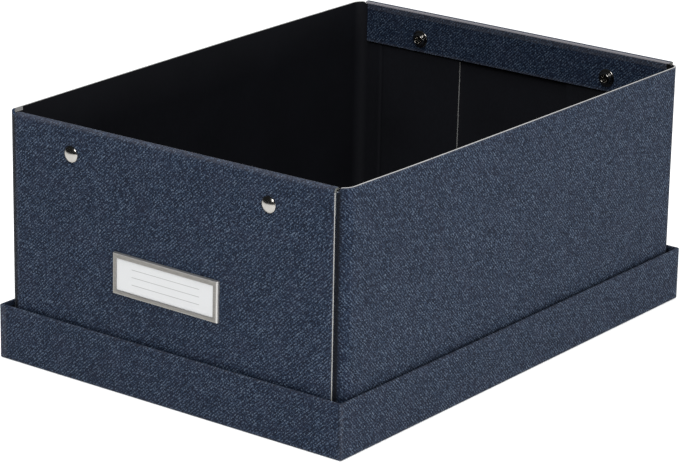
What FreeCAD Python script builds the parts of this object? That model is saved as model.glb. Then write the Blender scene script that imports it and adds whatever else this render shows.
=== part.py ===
import FreeCAD, Part
import math
import os

# A flat-pack storage box of covered board that stands in its own upturned lid.
# Millimetres, +Z up. The origin is the centre of the lid's underside, on the ground.
# X runs across the short ends and Y along the long sides. The front end, with the
# label holder, faces -Y. "u" is the depth from an end panel's outer face inwards.

# Box body
BOX_WIDTH = 250.0
BOX_LENGTH = 348.2
RIM_TOP = 155.2
SIDE_TOP = 154.4
BOARD = 1.5
LAYER_GAP = 0.1
CORNER_RADIUS = 8.5
PANEL_WIDTH = 236.6
FLAP_END_X = 42.5
FLAP_TOP_DROP = 2.0
STRIP_HEIGHT = 26.8
CREASE_ANGLE = 30.0
LINING = 0.3

# Lid
LID_HEIGHT = 33.8
LID_BOARD = 1.8
LID_PLAY = 1.4
LID_TURN_IN = 3.0
REST_GAP = 0.1

# Press studs, two at each end
STUD_X = 72.8
STUD_Z = 137.0
CAP_RADIUS = 5.0
CAP_HEIGHT = 2.3
CAP_SHELL = 0.5
POST_RADIUS = 1.5
SOCKET_RADIUS = 4.1
SOCKET_BORE = 2.6
SOCKET_DEPTH = 2.55
SOCKET_FLOOR = 0.6
PANEL_HOLE = 4.2
FLAP_HOLE = 5.5
STUD_BASE_RADIUS = 4.0
STUD_BASE = 0.45
STUD_HEAD_RADIUS = 2.2
STUD_TIP = 1.0
EYELET_FLANGE_RADIUS = 5.9
EYELET_FLANGE = 0.6
EYELET_NECK_RADIUS = 4.2
EYELET_NECK = 1.6
EYELET_HEAD_RADIUS = 3.4
EYELET_HEAD = 1.1
EYELET_BORE = 2.0
SHANK_RADIUS = 1.2
FIT = 0.05

# Label holder and its card, on the front panel
LABEL_X = 0.0
LABEL_BOTTOM = 60.1
HOLDER_WIDTH = 78.6
HOLDER_HEIGHT = 25.1
HOLDER_DEPTH = 2.2
HOLDER_BAR = 3.2
HOLDER_BOTTOM_BAR = 2.8
HOLDER_WALL = 0.8
HOLDER_LIP = 1.0
PRONG_WIDTH = 3.0
PRONG_THICK = 0.5
PRONG_REACH = 5.0
PRONG_INSET = 6.0
SLOT_PLAY = 0.2
CARD_THICK = 0.5
CARD_LIFT = 0.4
CARD_PLAY = 0.45
CARD_TOP_DROP = 0.9

# Places that follow from the sizes above
FRONT_Y = -BOX_LENGTH / 2
FLAP_U = BOARD + LAYER_GAP
STRIP_U = 2 * FLAP_U
RIM_DEPTH = STRIP_U + BOARD
RIM_RADIUS = RIM_DEPTH / 2
RIM_BEND_Z = RIM_TOP - RIM_RADIUS
CREASE_U = STRIP_U + BOARD / 2
CREASE_Z = RIM_BEND_Z - 0.2
BODY_Z = LID_BOARD + LINING + REST_GAP
FLAP_TOP = RIM_TOP - FLAP_TOP_DROP
WALL_X = BOX_WIDTH / 2
BEND_X = WALL_X - CORNER_RADIUS
BEND_Y = FRONT_Y + FLAP_U + CORNER_RADIUS
STRIP_HALF = BEND_X - LAYER_GAP
FLOOR_HALF_X = WALL_X - BOARD - LAYER_GAP
FLOOR_HALF_Y = BOX_LENGTH / 2 - FLAP_U - BOARD - LAYER_GAP
FLOOR_RADIUS = CORNER_RADIUS - BOARD
LID_HALF_X = WALL_X + LID_PLAY + LID_BOARD
LID_HALF_Y = BOX_LENGTH / 2 + LID_PLAY + LID_BOARD


def vec(x, y, z):
    return FreeCAD.Vector(x, y, z)


def block(x0, x1, y0, y1, z0, z1):
    """An axis-aligned box between two corners."""
    return Part.makeBox(x1 - x0, y1 - y0, z1 - z0, vec(x0, y0, z0))


def end_block(x0, x1, u0, u1, z0, z1):
    """A box at the front end, placed by its depth u from the end panel's outer face."""
    return block(x0, x1, FRONT_Y + u0, FRONT_Y + u1, z0, z1)


def end_disc(x, u0, u1, radius):
    """A round slug along the depth of the front end, at press-stud height."""
    return Part.makeCylinder(radius, u1 - u0, vec(x, FRONT_Y + u0, STUD_Z), vec(0, 1, 0))


def plane_arc(centre, radius, start, middle, end, to_point):
    """An arc through three angles in degrees, in the plane that to_point maps to."""
    points = []
    for angle in (start, middle, end):
        turn = math.radians(angle)
        a = centre[0] + radius * math.cos(turn)
        b = centre[1] + radius * math.sin(turn)
        points.append(to_point(a, b))
    return Part.Arc(*points).toShape()


def prism(edges, direction):
    """A solid swept straight from a closed outline."""
    wire = Part.Wire(Part.__sortEdges__(edges))
    return Part.Face(wire).extrude(direction)


def rounded_plate(half_x, half_y, radius, z0, z1):
    """A plate with rounded vertical corners, centred on the box's axis."""
    plate = block(-half_x, half_x, -half_y, half_y, z0, z1)
    uprights = [e for e in plate.Edges if abs(e.tangentAt(e.FirstParameter).z) > 0.9]
    return plate.makeFillet(radius, uprights)


def to_rear(shape):
    """The same shape turned half round the vertical axis, for the rear end."""
    turned = shape.copy()
    turned.rotate(vec(0, 0, 0), vec(0, 0, 1), 180)
    return turned


def mirror_x(shape):
    return shape.mirror(vec(0, 0, 0), vec(1, 0, 0))


def mirror_y(shape):
    return shape.mirror(vec(0, 0, 0), vec(0, 1, 0))


# The lid, upturned


def lid_panel():
    return block(-LID_HALF_X, LID_HALF_X, -LID_HALF_Y, LID_HALF_Y, 0, LID_BOARD)


def lid_end_wall():
    return block(-LID_HALF_X, LID_HALF_X, -LID_HALF_Y, -LID_HALF_Y + LID_BOARD, LID_BOARD, LID_HEIGHT)


def lid_side_wall():
    half_y = LID_HALF_Y - LID_BOARD
    return block(LID_HALF_X - LID_BOARD, LID_HALF_X, -half_y, half_y, LID_BOARD, LID_HEIGHT)


def lid_lining():
    """A thin black pan of paper that lines the inside of the lid."""
    half_x = LID_HALF_X - LID_BOARD
    half_y = LID_HALF_Y - LID_BOARD
    top = LID_HEIGHT - LID_TURN_IN
    pan = block(-half_x, half_x, -half_y, half_y, LID_BOARD, top)
    inside = block(
        -half_x + LINING, half_x - LINING, -half_y + LINING, half_y - LINING, LID_BOARD + LINING, top
    )
    return pan.cut(inside)


# The box body


def floor_sheet(low, thick):
    """A sheet that fits the floor of the body, inside its walls and flaps."""
    return rounded_plate(FLOOR_HALF_X, FLOOR_HALF_Y, FLOOR_RADIUS, low, low + thick)


def bottom_panel():
    return floor_sheet(BODY_Z, BOARD)


def bottom_lining():
    return floor_sheet(BODY_Z + BOARD, LINING)


def side_wall():
    """The right-hand long wall, flat between its two corner bends."""
    return block(WALL_X - BOARD, WALL_X, BEND_Y, -BEND_Y, BODY_Z, SIDE_TOP)


def front_flap():
    """The right-hand wall's front flap: a rounded bend, then a flat tongue behind the end panel."""
    centre = (BEND_X, BEND_Y)
    inner = CORNER_RADIUS - BOARD
    flat = lambda x, y: vec(x, y, BODY_Z)
    outline = [
        plane_arc(centre, CORNER_RADIUS, -90, -45, 0, flat),
        Part.LineSegment(flat(WALL_X, BEND_Y), flat(WALL_X - BOARD, BEND_Y)).toShape(),
        plane_arc(centre, inner, -90, -45, 0, flat),
        Part.LineSegment(flat(BEND_X, BEND_Y - inner), flat(FLAP_END_X, BEND_Y - inner)).toShape(),
        Part.LineSegment(
            flat(FLAP_END_X, BEND_Y - inner), flat(FLAP_END_X, BEND_Y - CORNER_RADIUS)
        ).toShape(),
        Part.LineSegment(
            flat(FLAP_END_X, BEND_Y - CORNER_RADIUS), flat(BEND_X, BEND_Y - CORNER_RADIUS)
        ).toShape(),
    ]
    flap = prism(outline, vec(0, 0, SIDE_TOP - BODY_Z))
    under_rim = end_block(0, PANEL_WIDTH / 2 + LAYER_GAP, 0, RIM_DEPTH + BOARD, FLAP_TOP, RIM_TOP)
    return flap.cut(under_rim).cut(end_disc(STUD_X, 0, RIM_DEPTH + BOARD, FLAP_HOLE))


def end_panel():
    """An end wall whose top is rolled inwards over the flaps, up to the strip's crease."""
    to_end = lambda u, z: vec(-PANEL_WIDTH / 2, FRONT_Y + u, z)
    centre = (RIM_RADIUS, RIM_BEND_Z)
    inner = RIM_RADIUS - BOARD
    middle = (180 + CREASE_ANGLE) / 2
    turn = math.radians(CREASE_ANGLE)
    lip_outer = to_end(centre[0] + RIM_RADIUS * math.cos(turn), centre[1] + RIM_RADIUS * math.sin(turn))
    lip_inner = to_end(centre[0] + inner * math.cos(turn), centre[1] + inner * math.sin(turn))
    outline = [
        Part.LineSegment(to_end(0, BODY_Z), to_end(0, RIM_BEND_Z)).toShape(),
        plane_arc(centre, RIM_RADIUS, 180, middle, CREASE_ANGLE, to_end),
        Part.LineSegment(lip_outer, lip_inner).toShape(),
        plane_arc(centre, inner, 180, middle, CREASE_ANGLE, to_end),
        Part.LineSegment(to_end(BOARD, RIM_BEND_Z), to_end(BOARD, BODY_Z)).toShape(),
        Part.LineSegment(to_end(BOARD, BODY_Z), to_end(0, BODY_Z)).toShape(),
    ]
    panel = prism(outline, vec(PANEL_WIDTH, 0, 0))
    for x in (-STUD_X, STUD_X):
        panel = panel.cut(end_disc(x, -1, BOARD + 1, PANEL_HOLE))
    return panel


def prong_places():
    """Where the label holder's four prongs pass through the front panel: x, z and bend direction."""
    z_low = LABEL_BOTTOM + PRONG_INSET
    z_high = LABEL_BOTTOM + HOLDER_HEIGHT - PRONG_INSET
    x_edge = HOLDER_WIDTH / 2 - HOLDER_WALL / 2
    return [(LABEL_X + side * x_edge, z, side) for side in (-1, 1) for z in (z_low, z_high)]


def front_panel():
    panel = end_panel()
    half = PRONG_THICK / 2 + SLOT_PLAY
    for x, z, _ in prong_places():
        tall = PRONG_WIDTH / 2 + SLOT_PLAY
        panel = panel.cut(end_block(x - half, x + half, -1, BOARD + 1, z - tall, z + tall))
    return panel


def strip():
    """The fold-over strip that hangs from the rim's inner crease and traps the flaps."""
    to_end = lambda u, z: vec(-STRIP_HALF, FRONT_Y + u, z)
    low = RIM_TOP - STRIP_HEIGHT
    outline = [
        Part.LineSegment(to_end(STRIP_U, low), to_end(STRIP_U, CREASE_Z)).toShape(),
        plane_arc((CREASE_U, CREASE_Z), BOARD / 2, 180, 90, 0, to_end),
        Part.LineSegment(to_end(RIM_DEPTH, CREASE_Z), to_end(RIM_DEPTH, low)).toShape(),
        Part.LineSegment(to_end(RIM_DEPTH, low), to_end(STRIP_U, low)).toShape(),
    ]
    shape = prism(outline, vec(2 * STRIP_HALF, 0, 0))
    for x in (-STUD_X, STUD_X):
        shape = shape.cut(end_disc(x, STRIP_U - 1, RIM_DEPTH + 1, SHANK_RADIUS + FIT))
    return shape


# Press studs


def snap_cap(x):
    """The domed cap outside the end panel, a pressed shell with a post on its back."""
    sphere = (CAP_RADIUS**2 + CAP_HEIGHT**2) / (2 * CAP_HEIGHT)
    centre = vec(x, FRONT_Y - CAP_HEIGHT + sphere, STUD_Z)
    dome = Part.makeSphere(sphere, centre).common(end_disc(x, -CAP_HEIGHT, 0, CAP_RADIUS))
    hollow = Part.makeSphere(sphere - CAP_SHELL, centre)
    hollow = hollow.common(end_disc(x, -CAP_HEIGHT, 0, CAP_RADIUS - CAP_SHELL))
    post = end_disc(x, -CAP_HEIGHT + CAP_SHELL / 2, SOCKET_FLOOR, POST_RADIUS)
    return dome.cut(hollow).fuse(post).removeSplitter()


def snap_socket(x):
    """The spring cup behind the cap, sunk in the end panel's hole and open inwards."""
    cup = end_disc(x, FIT, SOCKET_DEPTH, SOCKET_RADIUS)
    cup = cup.cut(end_disc(x, SOCKET_FLOOR, SOCKET_DEPTH + 1, SOCKET_BORE))
    return cup.cut(end_disc(x, 0, SOCKET_FLOOR + 1, POST_RADIUS + FIT))


def snap_stud(x):
    """The male half on the strip's outer face, which pushes into the socket."""
    base = end_disc(x, STRIP_U - STUD_BASE, STRIP_U, STUD_BASE_RADIUS)
    head = end_disc(x, STUD_TIP, STRIP_U - STUD_BASE, STUD_HEAD_RADIUS)
    bore = end_disc(x, STUD_TIP - 1, STRIP_U + 1, SHANK_RADIUS + FIT)
    return base.fuse(head).cut(bore).removeSplitter()


def snap_eyelet(x):
    """The stepped hollow eyelet on the strip's inner face, whose shank holds the stud on."""
    neck_u = RIM_DEPTH + EYELET_FLANGE
    head_u = neck_u + EYELET_NECK
    tip_u = head_u + EYELET_HEAD
    flange = end_disc(x, RIM_DEPTH, neck_u, EYELET_FLANGE_RADIUS)
    neck = end_disc(x, neck_u, head_u, EYELET_NECK_RADIUS)
    head = end_disc(x, head_u, tip_u, EYELET_HEAD_RADIUS)
    shank = end_disc(x, STUD_TIP, RIM_DEPTH, SHANK_RADIUS)
    bore = end_disc(x, neck_u, tip_u + 1, EYELET_BORE)
    return flange.fuse([neck, head, shank]).cut(bore).removeSplitter()


# Label


def label_holder():
    """A pressed metal frame, open behind its top bar, with four prongs bent over inside."""
    x0 = LABEL_X - HOLDER_WIDTH / 2
    x1 = LABEL_X + HOLDER_WIDTH / 2
    z0 = LABEL_BOTTOM
    z1 = LABEL_BOTTOM + HOLDER_HEIGHT
    frame = end_block(x0, x1, -HOLDER_DEPTH, 0, z0, z1)
    pocket = end_block(
        x0 + HOLDER_WALL, x1 - HOLDER_WALL, -HOLDER_DEPTH + HOLDER_LIP, 1, z0 + HOLDER_WALL, z1 + 1
    )
    window = end_block(
        x0 + HOLDER_BAR,
        x1 - HOLDER_BAR,
        -HOLDER_DEPTH - 1,
        1,
        z0 + HOLDER_BOTTOM_BAR,
        z1 - HOLDER_BAR,
    )
    holder = frame.cut(pocket).cut(window)
    half = PRONG_THICK / 2
    for x, z, side in prong_places():
        low = z - PRONG_WIDTH / 2
        high = z + PRONG_WIDTH / 2
        leg = end_block(x - half, x + half, 0, BOARD + PRONG_THICK, low, high)
        tail_end = x - side * PRONG_REACH
        tail = end_block(min(x, tail_end), max(x, tail_end), BOARD, BOARD + PRONG_THICK, low, high)
        holder = holder.fuse([leg, tail])
    return holder.removeSplitter()


def label_card():
    """The blank paper card, free to slide up out of the holder."""
    half = HOLDER_WIDTH / 2 - HOLDER_WALL - CARD_PLAY
    low = LABEL_BOTTOM + HOLDER_WALL + REST_GAP
    high = LABEL_BOTTOM + HOLDER_HEIGHT - CARD_TOP_DROP
    return end_block(LABEL_X - half, LABEL_X + half, -CARD_LIFT - CARD_THICK, -CARD_LIFT, low, high)


def lid_parts():
    end = lid_end_wall()
    side = lid_side_wall()
    return {
        "lid_panel": lid_panel(),
        "lid_front_wall": end,
        "lid_rear_wall": to_rear(end),
        "lid_right_wall": side,
        "lid_left_wall": to_rear(side),
        "lid_lining": lid_lining(),
    }


def body_parts():
    wall = side_wall()
    flap = front_flap()
    return {
        "bottom_panel": bottom_panel(),
        "bottom_lining": bottom_lining(),
        "right_side_wall": wall,
        "left_side_wall": mirror_x(wall),
        "right_front_flap": flap,
        "left_front_flap": mirror_x(flap),
        "right_rear_flap": mirror_y(flap),
        "left_rear_flap": to_rear(flap),
        "front_end_panel": front_panel(),
        "rear_end_panel": to_rear(end_panel()),
        "front_strip": strip(),
        "rear_strip": to_rear(strip()),
    }


def snap_parts():
    """Every press stud's four pieces, named by end and side."""
    makers = {
        "snap_cap": snap_cap,
        "snap_socket": snap_socket,
        "snap_stud": snap_stud,
        "snap_eyelet": snap_eyelet,
    }
    found = {}
    for kind, make in makers.items():
        for side, x in (("left", -STUD_X), ("right", STUD_X)):
            found[f"front_{side}_{kind}"] = make(x)
            found[f"rear_{side}_{kind}"] = to_rear(make(-x))
    return found


def label_parts():
    return {"label_holder": label_holder(), "label_card": label_card()}


def main():
    os.makedirs("parts", exist_ok=True)
    nodes = {}
    for group in (lid_parts, body_parts, snap_parts, label_parts):
        nodes.update(group())
    for name, shape in nodes.items():
        solids = shape.Solids
        if len(solids) != 1 or not shape.isValid():
            raise RuntimeError(f"{name} is not one valid solid")
        solids[0].exportStep(f"parts/{name}.step")
    print(len(nodes), "nodes written")


main()
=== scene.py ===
import math

import bmesh
import bpy
import numpy as np
from mathutils import Matrix, Vector, noise


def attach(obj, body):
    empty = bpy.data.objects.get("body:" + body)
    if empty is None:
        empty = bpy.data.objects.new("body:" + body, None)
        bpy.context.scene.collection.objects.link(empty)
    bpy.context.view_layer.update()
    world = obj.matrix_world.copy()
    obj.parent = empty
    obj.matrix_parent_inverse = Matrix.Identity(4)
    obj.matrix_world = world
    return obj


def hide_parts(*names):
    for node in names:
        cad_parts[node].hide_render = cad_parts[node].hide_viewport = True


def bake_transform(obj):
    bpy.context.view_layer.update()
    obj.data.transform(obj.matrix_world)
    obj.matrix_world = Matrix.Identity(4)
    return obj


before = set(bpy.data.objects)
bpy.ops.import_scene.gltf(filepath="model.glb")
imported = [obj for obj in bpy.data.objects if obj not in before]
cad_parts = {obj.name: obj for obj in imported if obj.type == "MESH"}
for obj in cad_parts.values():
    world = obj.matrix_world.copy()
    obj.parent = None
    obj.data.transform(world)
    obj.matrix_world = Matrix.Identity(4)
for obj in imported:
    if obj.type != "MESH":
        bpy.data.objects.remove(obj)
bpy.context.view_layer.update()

# A storage box of covered board standing in its upturned lid. Shapes are worked out in
# millimetres (+Z up, the label end faces -Y) and written to Blender in metres. The walls,
# end panels and strips are made on the right or at the front, and turned or mirrored from there.
MM = 0.001

# Box body. The board's cut edge shows a light ply, then a dark one on the inside.
WALL_X = 125.0  # outside of the long walls
HALF_LENGTH = 174.1  # outside of the end panels
BOARD = 1.5
LIGHT_PLY = 0.68  # share of the board's thickness
BODY_Z = 2.2  # underside of the body, on the lid's lining
SIDE_TOP = 154.4
RIM_TOP = 155.2
FLAP_TOP = 153.2
FLAP_DEPTH = 1.6  # how far the flaps lie behind the end panels' faces
STRIP_DEPTH = 3.2  # the same for the fold-over strips
CORNER_RADIUS = 8.5
PANEL_HALF = 118.3
PANEL_SHORT = 115.7  # the front panel's left half is cut a little narrower
STRIP_HALF = 116.4
STRIP_LOW = 128.4
FLAP_END = 42.5
CREASE_X = 105.0  # scored line down each flap
CREASE_AXIS = (3.95, 152.65)  # the strips' hinge line: depth behind the panel's face, height
RIM_FOLD_RADIUS = 1.5
RIM_TO_STRIP = 163.5  # carries the twill's rows over the rim and on to the strip
STUD_X = 72.8
STUD_Z = 137.0
PANEL_HOLE = 4.2
FLAP_HOLE = 5.5
GREY_PATCH_END = -159.5  # the grey patch on the left wall's front bend ends here

# Lid
LID_X = 128.2
LID_Y = 177.3
LID_HEIGHT = 33.8
LID_BOARD = 1.8
LID_TURN_IN = 3.0  # covering turned in over the rim, above the lining
LINER_GAP = 0.02
LINER_THICK = 0.28
LAP_WIDTH = 6.0  # the long walls' covering laps round on to the end walls by this much
LAP_EDGE = 5.4  # its dark edge begins here
SEAM_INSET = 1.9  # a fine dark seam beside each of the other corners

# Label holder and card
LABEL_X = -0.4
LABEL_LOW = 60.1
HOLDER_WIDTH = 77.9
HOLDER_HEIGHT = 25.1
LABEL_MIDDLE = LABEL_LOW + HOLDER_HEIGHT / 2
LABEL_TILT = -0.55  # degrees out of square
PRONG_BEND = 0.45
RULED_LINE_GAP = 4.6
RULED_LINE_HALF = 25.0

# Weave repeats per millimetre, across and along the cloth's threads
WEAVE_U = 0.435
WEAVE_V = 0.465

# Camera, at the viewing angle of the picture that the box follows
CAMERA_AZIMUTH = 36.968
CAMERA_ELEVATION = 18.334
CAMERA_ROLL = 1.063
CAMERA_PLACE = (1090.5, -1460.7, 665.7)
CAMERA_LENS = 166.10

# Studio lights, in metres and watts: name, place, point aimed at, width, height, power
OVERHEAD = ("overhead", (0.1, -0.3, 2.2), (0.0, 0.0, 0.0), 3.2, 3.2, 92.0)
KEY = ("key", (0.86, -1.42, 1.47), (0.0, 0.0, 0.1), 0.8, 0.8, 15.0)
SIDE = ("side", (1.3, 0.1, 0.15), (0.0, 0.0, 0.08), 1.4, 0.28, 5.2)

# Studio floor, in metres
FLOOR_HALF = 9.0
FLOOR_Z = -0.0002

# Wear and painted light values: positive is rubbed pale, and on the rims and the label holder's bevels a
# painted highlight; negative is a dark seam, and beside the end panels' edges painted shade
# Painted highlight along the rims' inner lips
PAINTED_RIM_HIGHLIGHT = 2.2
RUBBED_EDGE = 0.5


# Materials


class Tree:
    """A material's node tree, with short calls for the nodes that the patterns need."""

    def __init__(self, name):
        self.material = bpy.data.materials.new(name)
        self.material.use_nodes = True
        self.nodes = self.material.node_tree.nodes
        self.links = self.material.node_tree.links
        self.shader = self.nodes["Principled BSDF"]

    def put(self, socket, value):
        if isinstance(value, bpy.types.NodeSocket):
            self.links.new(value, socket)
        elif value is not None:
            socket.default_value = value

    def node(self, kind, **inputs):
        """A new node with its inputs set or linked; an underscore in a name stands for a space."""
        node = self.nodes.new("ShaderNode" + kind)
        for name, value in inputs.items():
            self.put(node.inputs[name.replace("_", " ")], value)
        return node

    def math(self, operation, a, b=None, c=None, clamp=False):
        node = self.nodes.new("ShaderNodeMath")
        node.operation = operation
        node.use_clamp = clamp
        for socket, value in zip(node.inputs, (a, b, c)):
            self.put(socket, value)
        return node.outputs[0]

    def vector(self, operation, a, b=None, scale=None):
        node = self.nodes.new("ShaderNodeVectorMath")
        node.operation = operation
        self.put(node.inputs[0], a)
        self.put(node.inputs[1], b)
        if scale is not None:
            self.put(node.inputs["Scale"], scale)
        return node.outputs[0]

    def uv(self):
        node = self.nodes.new("ShaderNodeUVMap")
        node.uv_map = "weave"
        return node.outputs["UV"]

    def attribute(self, name):
        node = self.nodes.new("ShaderNodeAttribute")
        node.attribute_name = name
        return node.outputs["Fac"]

    def place(self):
        return self.nodes.new("ShaderNodeTexCoord").outputs["Object"]

    def scaled(self, vector, scale):
        return self.node("Mapping", Vector=vector, Scale=scale).outputs[0]

    def noise(self, vector, scale, detail=2.0, roughness=0.5):
        node = self.node("TexNoise", Vector=vector, Scale=scale, Detail=detail, Roughness=roughness)
        return node.outputs["Fac"], node.outputs["Color"]

    def split(self, vector):
        return tuple(self.node("SeparateXYZ", Vector=vector).outputs)

    def centred(self, value):
        """A noise value moved to lie about zero."""
        return self.math("SUBTRACT", value, 0.5)

    def joined(self, x, y, z=0.0):
        return self.node("CombineXYZ", X=x, Y=y, Z=z).outputs[0]

    def random(self, vector):
        return self.node("TexWhiteNoise", Vector=vector).outputs["Value"]

    def ramp(self, value, stops):
        node = self.nodes.new("ShaderNodeValToRGB")
        self.put(node.inputs[0], value)
        elements = node.color_ramp.elements
        while len(elements) < len(stops):
            elements.new(0.5)
        for element, (at, colour) in zip(elements, stops):
            element.position = at
            element.color = (*colour, 1.0)
        return node.outputs["Color"]

    def mix(self, factor, a, b):
        node = self.nodes.new("ShaderNodeMix")
        node.data_type = "RGBA"
        self.put(node.inputs["Factor"], factor)
        self.put(node.inputs["A"], (*a, 1.0) if isinstance(a, tuple) else a)
        self.put(node.inputs["B"], (*b, 1.0) if isinstance(b, tuple) else b)
        return node.outputs["Result"]

    def span(self, value, low, high, to_low=0.0, to_high=1.0):
        node = self.node("MapRange", Value=value, From_Min=low, From_Max=high)
        node.inputs["To Min"].default_value = to_low
        node.inputs["To Max"].default_value = to_high
        return node.outputs["Result"]

    def bump(self, height, distance, strength=1.0):
        node = self.node("Bump", Height=height, Distance=distance, Strength=strength)
        self.links.new(node.outputs["Normal"], self.shader.inputs["Normal"])

    def set(self, **values):
        for name, value in values.items():
            self.put(self.shader.inputs[name.replace("_", " ")], value)
        return self.material


def bent_weave(tree, uv):
    """Places across and along the twill's ribs, with the ribs wandering a little."""
    half = (0.5, 0.5, 0.5)
    _, drift = tree.noise(uv, 0.11, 2.0)
    _, jitter = tree.noise(uv, 0.9, 1.0)
    drift = tree.vector("SCALE", tree.vector("SUBTRACT", drift, half), scale=0.9)
    jitter = tree.vector("SCALE", tree.vector("SUBTRACT", jitter, half), scale=0.28)
    u, v, _ = tree.split(tree.vector("ADD", tree.vector("ADD", uv, drift), jitter))
    return tree.math("ADD", u, v), tree.math("SUBTRACT", u, v)


def wave(tree, place):
    """Rises from 0 to 1 and falls again once for each repeat of the weave."""
    return tree.span(tree.math("COSINE", tree.math("MULTIPLY", place, 2 * math.pi)), 1.0, -1.0)


def random_cells(tree, across, along, finer_across=1.0, finer_along=1.0, seed=0.0):
    """A random value for each small cell of the twill."""
    column = tree.math("FLOOR", tree.math("MULTIPLY", across, finer_across))
    row = tree.math("FLOOR", tree.math("MULTIPLY", along, finer_along))
    return tree.random(tree.joined(column, row, seed))


def twill_pattern(tree, uv):
    """The ribs' relief, and how light the cloth is: lighter on the crests and darker between the ribs,
    partly the threads' tone and partly painted shade; floats, specks, fibres, slubs and clouds.
    """
    across, along = bent_weave(tree, uv)
    floats = tree.math("MULTIPLY_ADD", wave(tree, along), 0.35, 0.65)
    relief = tree.math("MULTIPLY", wave(tree, across), floats)
    tone = random_cells(tree, across, along)
    speck = random_cells(tree, across, along, 2.5, 2.3, 5.0)
    bright_speck = tree.math("POWER", speck, 9.0)
    on_rib = tree.math("MULTIPLY_ADD", relief, 0.7, 0.3)
    fibre, _ = tree.noise(tree.scaled(uv, (4.2, 4.6, 1.0)), 1.0, 3.0, 0.7)
    slub, _ = tree.noise(tree.scaled(uv, (0.10, 1.35, 1.0)), 1.0, 2.0)
    cloud, _ = tree.noise(uv, 0.05, 3.0)
    # Lighter on the ribs' crests, darker in the valleys, partly the threads' own tone and partly painted
    # shade of the relief
    light = tree.math("MULTIPLY_ADD", relief, 0.48, -0.51)
    for value, weight in (
        (tree.math("MULTIPLY", tone, relief), 0.22),
        (speck, 1.0),
        (tree.centred(fibre), 2.2),
        (tree.math("MULTIPLY", bright_speck, on_rib), 0.40),
        (tree.centred(slub), 0.22),
    ):
        light = tree.math("MULTIPLY_ADD", value, weight, light)
    return relief, tree.math("MULTIPLY_ADD", tree.centred(cloud), 0.16, light, clamp=True)


def twill_wear_and_painted_light(tree, uv, colour):
    """Pale where the value is positive: rubbed wear, and a painted highlight on the rims. Near-black
    where it is negative: the lid's seams, and painted shade beside the end panels' edges.
    """
    patches, _ = tree.noise(uv, 0.8, 4.0, 0.7)
    pale_wear_and_highlight = tree.math("MAXIMUM", tree.attribute("wear_and_painted_light"), 0.0)
    pale_wear_and_highlight = tree.math("MULTIPLY", pale_wear_and_highlight, tree.span(patches, 0.2, 0.7, 0.25, 1.0))
    pale_wear_and_highlight = tree.math("MULTIPLY", pale_wear_and_highlight, tree.math("MULTIPLY_ADD", pale_wear_and_highlight, 0.5, 0.15), clamp=True)
    # Pale of rubbed wear, and of the painted highlight along the rims
    colour = tree.mix(pale_wear_and_highlight, colour, (0.185, 0.180, 0.195))
    # Near-black of the lid's dark seams, and of the painted shade beside the end panels' edges
    dark_seam_and_shade = tree.math("MAXIMUM", tree.math("MULTIPLY", tree.attribute("wear_and_painted_light"), -1.0), 0.0)
    dark_seam_and_shade = tree.math("MULTIPLY", dark_seam_and_shade, 0.85, clamp=True)
    return tree.mix(dark_seam_and_shade, colour, (0.0035, 0.0045, 0.0075))


def twill():
    """Navy twill: diagonal ribs broken into short floats, each of its own brightness."""
    tree = Tree("navy_twill")
    uv = tree.uv()
    relief, light = twill_pattern(tree, uv)
    threads = [
        (0.0, (0.0045, 0.0078, 0.0180)),
        (0.30, (0.0100, 0.0190, 0.0395)),
        (0.62, (0.0205, 0.0365, 0.0700)),
        (1.0, (0.084, 0.114, 0.160)),
    ]
    hue, _ = tree.noise(uv, 0.16, 2.0)
    purple = tree.span(hue, 0.42, 0.72, 0.0, 0.20)
    colour = tree.mix(purple, tree.ramp(light, threads), (0.024, 0.027, 0.050))
    tree.bump(relief, 0.00014, 0.7)
    return tree.set(
        Base_Color=twill_wear_and_painted_light(tree, uv, colour),
        Roughness=tree.span(light, 0.0, 1.0, 0.86, 0.62),
        Specular_IOR_Level=0.15,
        Sheen_Weight=0.03,
        Sheen_Roughness=0.5,
    )


def board_edge(name, light, dark):
    """A cut edge of board: pressed fibres in thin layers, a little ragged."""
    tree = Tree(name)
    place = tree.place()
    fibres, _ = tree.noise(tree.scaled(place, (900.0, 900.0, 900.0)), 1.0, 4.0, 0.7)
    patches, _ = tree.noise(place, 90.0, 3.0)
    blend = tree.math("MULTIPLY_ADD", patches, 0.6, tree.math("MULTIPLY", fibres, 0.5))
    colour = tree.mix(tree.span(blend, 0.25, 0.85), dark, light)
    tree.bump(fibres, 0.00008, 0.6)
    roughness = tree.span(fibres, 0.2, 0.8, 0.95, 0.75)
    return tree.set(Base_Color=colour, Roughness=roughness, Specular_IOR_Level=0.2)


def black_paper():
    """The smooth black lining paper, with a faint grain and cloudy pressing marks."""
    tree = Tree("black_paper")
    place = tree.place()
    grain, _ = tree.noise(tree.scaled(place, (1500.0, 1500.0, 420.0)), 1.0, 3.0, 0.6)
    cloud, _ = tree.noise(place, 22.0, 3.0)
    blend = tree.math("MULTIPLY_ADD", cloud, 0.5, tree.math("MULTIPLY", grain, 0.5))
    colour = tree.mix(tree.span(blend, 0.3, 0.75), (0.0058, 0.0061, 0.0080), (0.0118, 0.0124, 0.0160))
    tree.bump(blend, 0.00005, 0.4)
    return tree.set(
        Base_Color=colour,
        Roughness=tree.span(cloud, 0.3, 0.7, 0.62, 0.5),
        Specular_IOR_Level=0.3,
    )


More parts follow.
